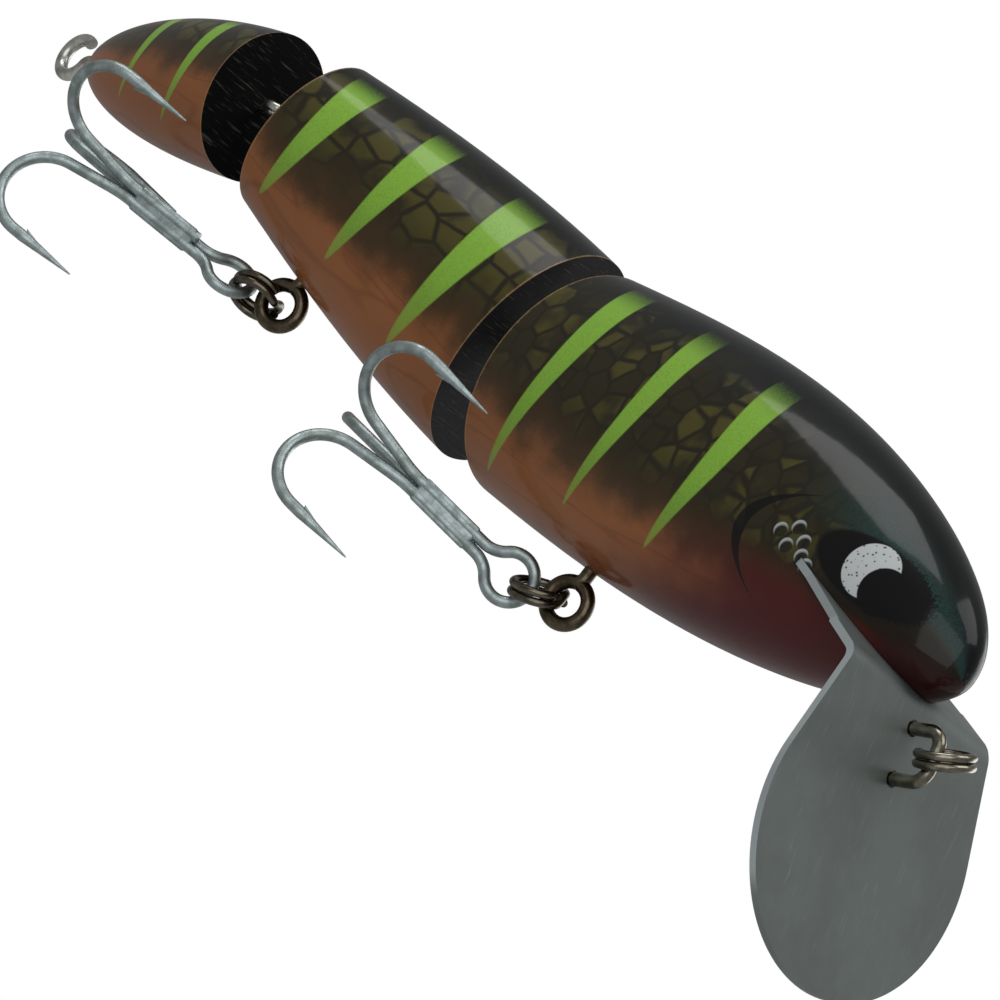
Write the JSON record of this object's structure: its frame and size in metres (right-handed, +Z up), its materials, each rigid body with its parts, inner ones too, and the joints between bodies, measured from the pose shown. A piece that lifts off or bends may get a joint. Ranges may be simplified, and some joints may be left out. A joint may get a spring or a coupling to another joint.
{
  "type": "swimbait",
  "caption": "Three-piece jointed timber swimbait with a folded metal diving bib, linked wire joint eyes, treble hooks on split rings under the belly and an open tail eye.",
  "frame": {"origin": "on the centre line of the tow eye's front wire, midway between its two legs", "axes": "+X runs forward along the head to its nose, +Z is up to the back of the lure, and +Y is its left side; the middle and tail sections lie turned about their joints as in the picture"},
  "size_m": [0.2071, 0.0567, 0.0587],
  "materials": {
    "head_paint": "gloss clear coat over sprayed paint",
    "mid_paint": "gloss clear coat over sprayed paint",
    "tail_paint": "gloss clear coat over sprayed paint",
    "bib_metal": "rolled sheet, fine scratches",
    "tow_wire": "bright wire",
    "tie_ring_metal": "plated",
    "joint_wire": "drawn wire",
    "tail_wire": "drawn wire",
    "belly_wire": "dark drawn wire",
    "ring_metal": "dark nickel plate",
    "hook_metal": "satin plate",
    "lead": "cast lead"
  },
  "bodies": {
    "head": {"head_body": "head_paint", "bib": "bib_metal", "tow_eye": "tow_wire", "head_joint_eye": "joint_wire", "front_belly_eye": "belly_wire", "head_ballast": "lead"},
    "mid": {"mid_body": "mid_paint", "mid_front_joint_eye": "joint_wire", "mid_rear_joint_eye": "joint_wire", "rear_belly_eye": "belly_wire", "mid_ballast": "lead"},
    "tail": {"tail_body": "tail_paint", "tail_joint_eye": "joint_wire", "tail_eye": "tail_wire"},
    "tie_ring": {"line_tie_ring": "tie_ring_metal"},
    "front_ring": {"front_split_ring": "ring_metal"},
    "front_treble": {"front_treble_double": "hook_metal", "front_treble_single": "hook_metal"},
    "rear_ring": {"rear_split_ring": "ring_metal"},
    "rear_treble": {"rear_treble_double": "hook_metal", "rear_treble_single": "hook_metal"}
  },
  "joints": [
    {"name": "mid_yaw", "type": "hinge", "parent": "head", "child": "mid", "pos_m": [-0.09532, 0, 0.00896], "axis": [0, 0, 1], "range_deg": [-45.8, 14.2]},
    {"name": "tail_yaw", "type": "hinge", "parent": "mid", "child": "tail", "pos_m": [-0.14968, -0.01538, 0.0154], "axis": [0.0956, 0.027, 0.9951], "range_deg": [-28.3, 49.7]},
    {"name": "tie_ring_swing", "type": "hinge", "parent": "head", "child": "tie_ring", "pos_m": [0, 0, 0], "axis": [0.3535, 0, -0.9354], "range_deg": [-45, 45]},
    {"name": "front_ring_slide", "type": "hinge", "parent": "head", "child": "front_ring", "pos_m": [-0.06652, 0, -0.01199], "axis": [0.342, -0.9397, 0], "range_deg": [-4, 90]},
    {"name": "front_treble_slide", "type": "hinge", "parent": "front_ring", "child": "front_treble", "pos_m": [-0.07032, -0.00138, -0.01308], "axis": [-0.1045, -0.4194, 0.9018], "range_deg": [-6, 40]},
    {"name": "rear_ring_slide", "type": "hinge", "parent": "mid", "child": "rear_ring", "pos_m": [-0.13218, -0.01043, -0.00432], "axis": [0.4029, -0.9151, -0.0138], "range_deg": [-4, 90]},
    {"name": "rear_treble_slide", "type": "hinge", "parent": "rear_ring", "child": "rear_treble", "pos_m": [-0.1356, -0.01192, -0.00527], "axis": [-0.3933, 0.3604, 0.8458], "range_deg": [-30, 30]}
  ]
}
